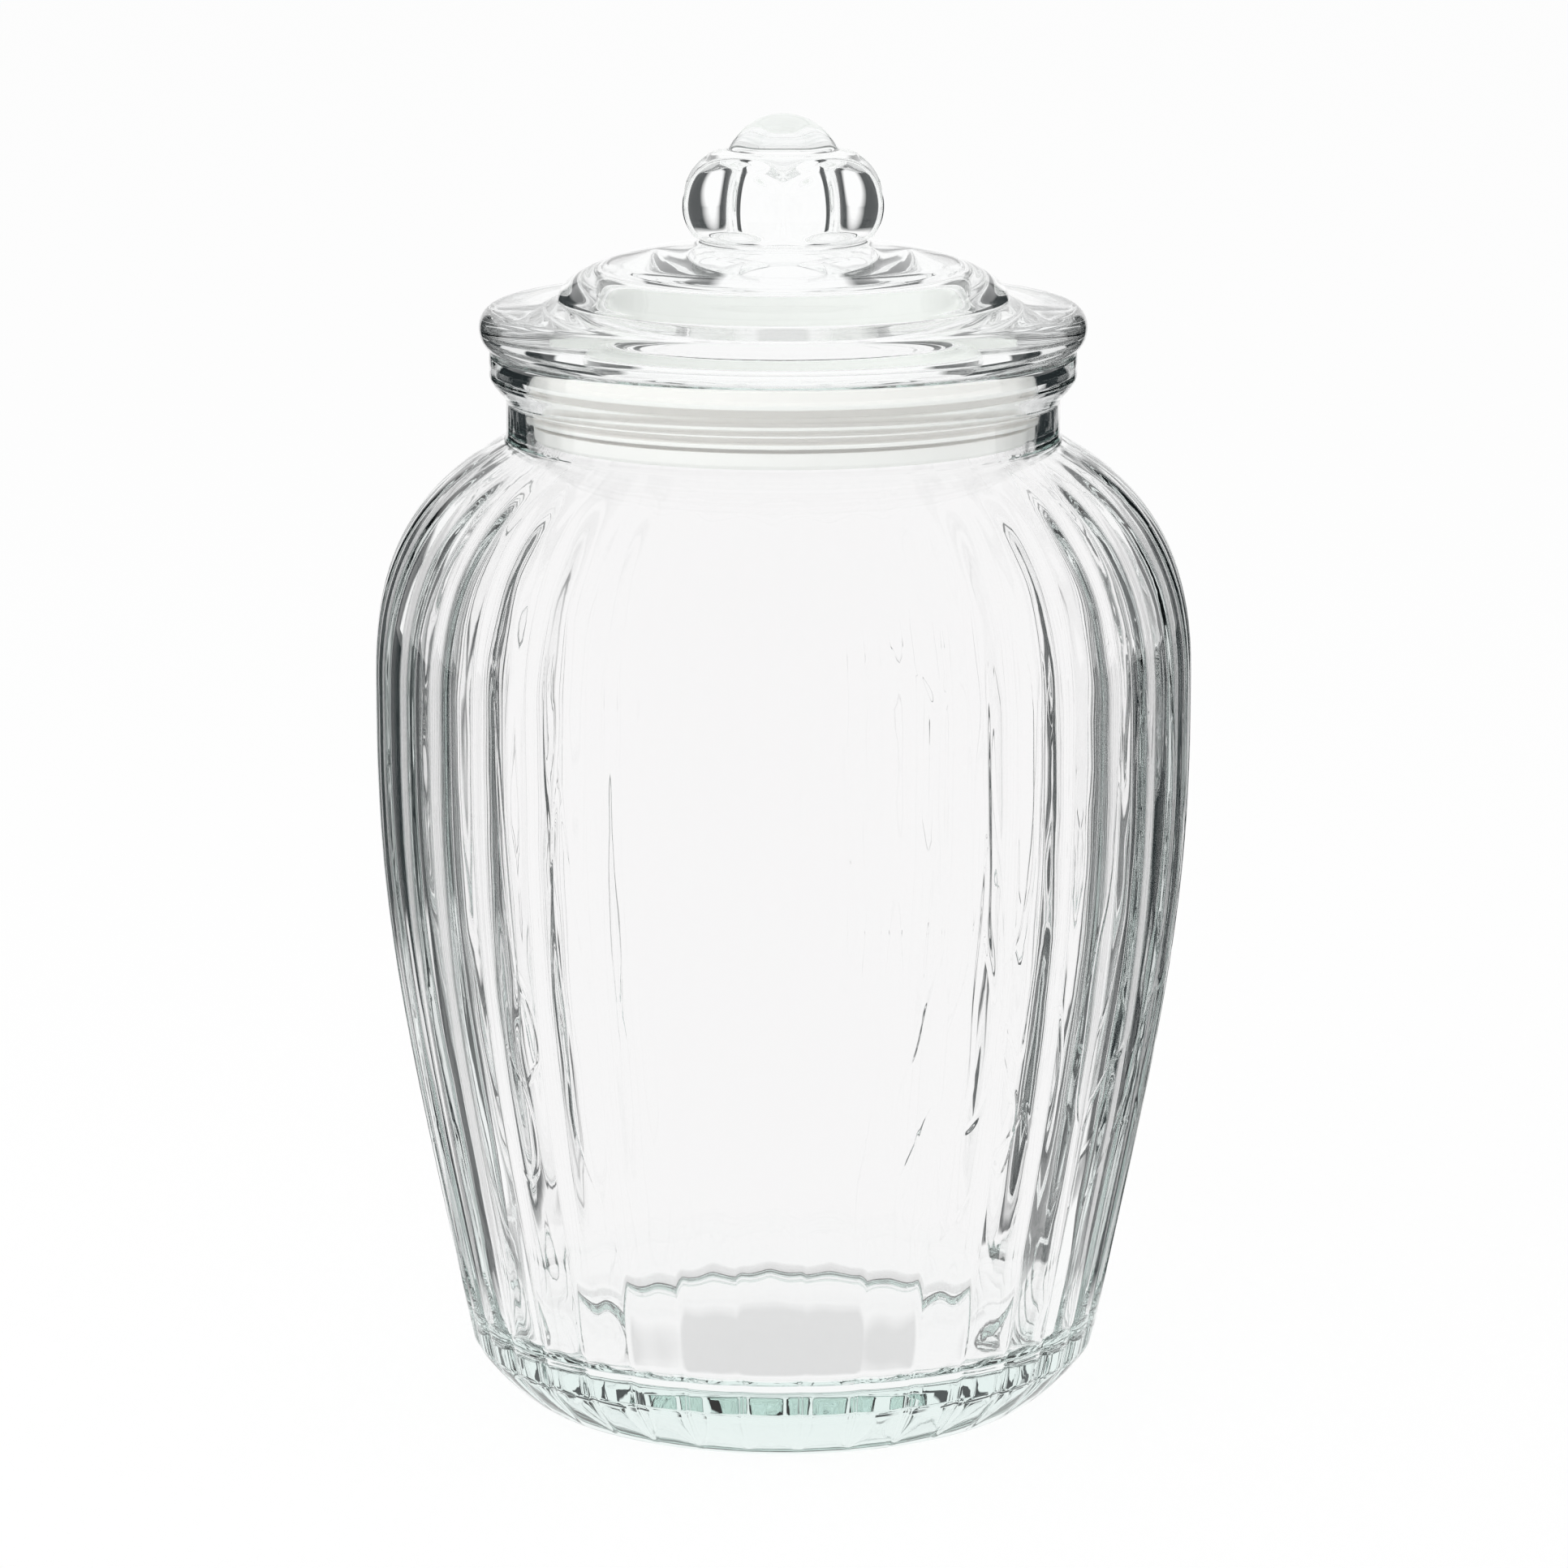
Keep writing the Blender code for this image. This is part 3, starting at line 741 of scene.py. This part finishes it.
def card_light(tree, rays, pale, studio):
    """White to the camera, and the dark cards to what glass and mirrors show."""
    seen = mixed_colour(tree, pale, (*studio.card_colour, 1), WHITE)
    return mixed_colour(tree, rays.outputs["Is Camera Ray"], seen, WHITE)


def floor_paleness(tree, studio, cards):
    """How pale the floor is in the glass: dark on the cards, but not beside the jar or in the near card's gap.

    A card begins at its own angle plus its spread divided by the distance, so its inner edge passes beside
    the jar. The middle of the floor, under the jar, has a painted shadow that only glass and mirrors show.
    """
    place = node(tree, "ShaderNodeNewGeometry", (-900, 300)).outputs["Position"]
    distance = node(tree, "ShaderNodeVectorMath", (-700, 100), {0: place}, operation="LENGTH").outputs["Value"]
    spread = joined(tree, "DIVIDE", math.radians(studio.card_spread), distance)
    inner = joined(tree, "ADD", spread, studio.card_inner)
    narrow = studio.card_narrowing
    outer = ramp(tree, distance, narrow, narrow + NARROWING_FADE, studio.card_outer, studio.card_outer_far)
    pale = card_shade(tree, place, cards, inner, outer)
    beside = ramp(tree, distance, studio.card_start, studio.card_start + START_FADE, 1.0, 0.0)
    pale = joined(tree, "MAXIMUM", pale, beside)
    gap = joined(tree, "SUBTRACT", 1.0, card_shade(tree, place, cards, studio.gap_start, studio.gap_end))
    across = node(tree, "ShaderNodeSeparateXYZ", (-700, 400), {0: place}).outputs["X"]
    gap = joined(tree, "MULTIPLY", gap, joined(tree, "LESS_THAN", across, 0.0))
    near = ramp(tree, distance, studio.gap_reach, studio.gap_reach + GAP_FADE, 1.0, 0.0)
    pale = joined(tree, "MAXIMUM", pale, joined(tree, "MULTIPLY", gap, near))
    # Painted shadow under the jar: the floor's middle is darker in what glass and mirrors show.
    middle = ramp(tree, distance, studio.foot_shade_start, studio.foot_shade_end, studio.foot_shade, 1.0)
    return joined(tree, "MULTIPLY", pale, middle)


def floor_material(studio, cards):
    """A pale floor that shows white, with the object's shadow and the cards' dark ends in the glass."""
    material, tree = new_material("pale_floor")
    tree.nodes.clear()
    leave = node(tree, "ShaderNodeOutputMaterial", (1000, 0))
    rays, seen = seen_rays(tree)
    light = card_light(tree, rays, floor_paleness(tree, studio, cards), studio)
    emit = node(tree, "ShaderNodeEmission", (450, 200), {"Color": light})
    matt = node(tree, "ShaderNodeBsdfDiffuse", (450, 0), {"Color": FLOOR_COLOUR})
    shaded = joined(tree, "MULTIPLY", rays.outputs["Is Camera Ray"], studio.shadow_share)
    mix = node(tree, "ShaderNodeMixShader", (700, 0), {0: joined(tree, "SUBTRACT", seen, shaded)})
    tree.links.new(matt.outputs[0], mix.inputs[1])
    tree.links.new(emit.outputs[0], mix.inputs[2])
    tree.links.new(mix.outputs[0], leave.inputs["Surface"])
    return material


def make_world(studio, cards):
    """Even light from all round, white behind the jar, and dark cards in what glass and mirrors show."""
    world = bpy.data.worlds.new("studio")
    bpy.context.scene.world = world
    world.use_nodes = True
    tree = world.node_tree
    tree.nodes.clear()
    leave = node(tree, "ShaderNodeOutputWorld", (1000, 0))
    rays, seen = seen_rays(tree)
    direction = node(tree, "ShaderNodeTexCoord", (-900, 300)).outputs["Generated"]
    windows = card_shade(tree, direction, cards, studio.card_inner, studio.card_outer_far)
    height = node(tree, "ShaderNodeSeparateXYZ", (-700, 100), {0: direction}).outputs["Z"]
    top = ramp(tree, height, studio.card_top, studio.card_top + studio.card_top_fade, 0.0, 1.0)
    light = card_light(tree, rays, joined(tree, "MAXIMUM", windows, top), studio)
    shown = node(tree, "ShaderNodeBackground", (450, 200), {"Color": light, "Strength": 1.0})
    even = node(tree, "ShaderNodeBackground", (450, 0), {"Color": WHITE, "Strength": studio.light_level})
    mix = node(tree, "ShaderNodeMixShader", (700, 0), {0: seen})
    tree.links.new(even.outputs[0], mix.inputs[1])
    tree.links.new(shown.outputs[0], mix.inputs[2])
    tree.links.new(mix.outputs[0], leave.inputs["Surface"])


def full_circle(count):
    """Angles of a number of columns, evenly round Z."""
    return np.arange(count) * 2 * math.pi / count


def make_floor(studio, cards):
    """A round flat floor just under the foot ring."""
    angle = full_circle(FLOOR_SIDES)
    rim = np.stack([np.cos(angle), np.sin(angle), angle * 0], axis=1) * studio.floor_radius
    rim[:, 2] = -FLOOR_DROP
    mesh = bpy.data.meshes.new("floor")
    mesh.from_pydata(rim.tolist(), [], [list(range(FLOOR_SIDES))])
    mesh.materials.append(floor_material(studio, cards))
    floor = bpy.data.objects.new("floor", mesh)
    bpy.context.scene.collection.objects.link(floor)


def make_lamp(studio):
    """One soft lamp at the front left, which gives the shadow and isn't seen in the glass."""
    soft = bpy.data.lights.new("soft_light", "AREA")
    soft.shape, soft.energy = "RECTANGLE", studio.lamp_power
    soft.size = soft.size_y = studio.lamp_size
    lamp = bpy.data.objects.new("soft_light", soft)
    lamp.location = LAMP_PLACE
    lamp.rotation_euler = [math.radians(angle) for angle in LAMP_TURN]
    lamp.visible_glossy = lamp.visible_transmission = False
    bpy.context.scene.collection.objects.link(lamp)


def make_camera(studio):
    """The camera, which looks at the jar from -Y and from above."""
    scene = bpy.context.scene
    lens = bpy.data.cameras.new("camera")
    lens.lens, lens.sensor_width = studio.camera_lens, 36.0
    lens.clip_start, lens.clip_end = 0.05, 50.0
    camera = bpy.data.objects.new("camera", lens)
    camera.location = (studio.camera_side, -studio.camera_distance, studio.camera_height)
    camera.rotation_euler = (math.pi / 2 - studio.camera_fall, 0, 0)
    scene.collection.objects.link(camera)
    scene.camera = camera


class JAR_OT_body(bpy.types.Operator):
    """Builds the ribbed glass body"""

    bl_idname = "jar.body"
    bl_label = "Glass body"

    def execute(self, context):
        sizes, finishes = context.scene.jar_body, context.scene.jar_finishes
        rows, angles = body_rows(sizes, BODY_ROWS), rib_angles(sizes)
        body = turned_mesh("body_glass", body_radius(sizes, rows, angles), rows[:, 1:2], angles)
        body.data.materials.append(glass_material(
            "jar_glass_clear", finishes, finishes.body_tint, finishes.glass_density,
            finishes.body_wave_scale, finishes.body_wave_stretch, finishes.wrinkle,
        ))
        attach(body, "jar")
        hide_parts("jar_body")
        return {"FINISHED"}


class JAR_OT_seal(bpy.types.Operator):
    """Builds the finned plastic seal"""

    bl_idname = "jar.seal"
    bl_label = "Plastic seal"

    def execute(self, context):
        scene = context.scene
        rows, angles = seal_rows(scene.jar_lid, scene.jar_body, SEAL_ROWS), full_circle(SEAL_COLUMNS)
        radius = np.repeat(rows[:, :1], SEAL_COLUMNS, axis=1)
        seal = turned_mesh("seal_sleeve", radius, rows[:, 1:2], angles, closed=True)
        seal.data.materials.append(seal_material(scene.jar_finishes))
        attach(seal, "seal")
        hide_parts("lid_seal")
        return {"FINISHED"}


class JAR_OT_lid(bpy.types.Operator):
    """Builds the pressed glass lid with its lobed knob"""

    bl_idname = "jar.lid"
    bl_label = "Glass lid"

    def execute(self, context):
        scene = context.scene
        sizes, finishes = scene.jar_lid, scene.jar_finishes
        rows, waist, knob_top = lid_rows(sizes, scene.jar_body, LID_ROWS)
        angles = full_circle(LID_COLUMNS)
        lid = turned_mesh("lid_glass", lid_radius(sizes, rows, angles, waist, knob_top), rows[:, 1:2], angles)
        lid.data.materials.append(glass_material(
            "lid_glass_clear", finishes, finishes.lid_tint, finishes.lid_density,
            finishes.lid_wave_scale, finishes.lid_wave_stretch,
        ))
        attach(lid, "lid")
        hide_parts("lid")
        return {"FINISHED"}


class JAR_OT_stage(bpy.types.Operator):
    """Builds the floor, the light and the camera"""

    bl_idname = "jar.stage"
    bl_label = "Studio"

    def execute(self, context):
        scene, studio = context.scene, context.scene.jar_studio
        cards = card_group()
        make_floor(studio, cards)
        make_world(studio, cards)
        make_lamp(studio)
        make_camera(studio)
        scene.view_settings.view_transform = "Standard"
        scene.cycles.caustics_refractive = scene.cycles.caustics_reflective = False
        scene.cycles.max_bounces = 32
        scene.cycles.transmission_bounces = 32
        scene.cycles.glossy_bounces = 16
        scene.cycles.transparent_max_bounces = 16
        return {"FINISHED"}


class JAR_PT_panel(bpy.types.Panel):
    """Lists the pieces that can be built"""

    bl_label = "Glass storage jar"
    bl_idname = "JAR_PT_panel"
    bl_space_type = "VIEW_3D"
    bl_region_type = "UI"
    bl_category = "Jar"

    def draw(self, context):
        for operator in operators:
            self.layout.operator(operator.bl_idname)


operators = (JAR_OT_body, JAR_OT_seal, JAR_OT_lid, JAR_OT_stage)
groups = {"jar_body": BodySizes, "jar_lid": LidSizes, "jar_finishes": Finishes, "jar_studio": Studio}


def register():
    for name, group in groups.items():
        bpy.utils.register_class(group)
        setattr(bpy.types.Scene, name, bpy.props.PointerProperty(type=group))
    for kind in (*operators, JAR_PT_panel):
        bpy.utils.register_class(kind)


def unregister():
    for kind in (JAR_PT_panel, *reversed(operators)):
        bpy.utils.unregister_class(kind)
    for name, group in groups.items():
        delattr(bpy.types.Scene, name)
        bpy.utils.unregister_class(group)


def main():
    register()
    bpy.ops.jar.body()
    bpy.ops.jar.seal()
    bpy.ops.jar.lid()
    bpy.ops.jar.stage()


if __name__ == "__main__":
    main()
